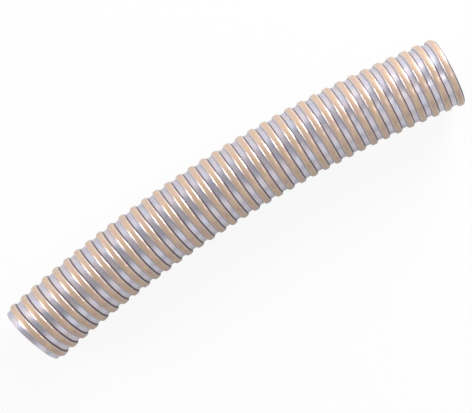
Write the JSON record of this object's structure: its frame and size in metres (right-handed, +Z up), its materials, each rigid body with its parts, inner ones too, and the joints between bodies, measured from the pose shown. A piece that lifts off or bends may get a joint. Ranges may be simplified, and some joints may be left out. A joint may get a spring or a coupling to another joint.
{
  "type": "flexible aluminium hose",
  "caption": "Gently bent length of flexible metal hose: gold-toned aluminium cap strip wound over a bare aluminium channel strip, open at both ends for a duct spigot.",
  "frame": {"origin": "on the floor that the hose lies on, under the middle of its box", "axes": "+X along the chord of the bend, towards the end that the picture shows cut; +Y towards the outside of the bend; +Z up"},
  "size_m": [0.5095, 0.0953, 0.0735],
  "materials": {
    "gold_aluminium": "gold-toned satin lacquer over rolled aluminium strip",
    "bare_aluminium": "bright rolled aluminium strip with fine lengthwise roll lines"
  },
  "bodies": {
    "root": {"cap_strip": "gold_aluminium", "valley_strip": "bare_aluminium"}
  },
  "joints": []
}
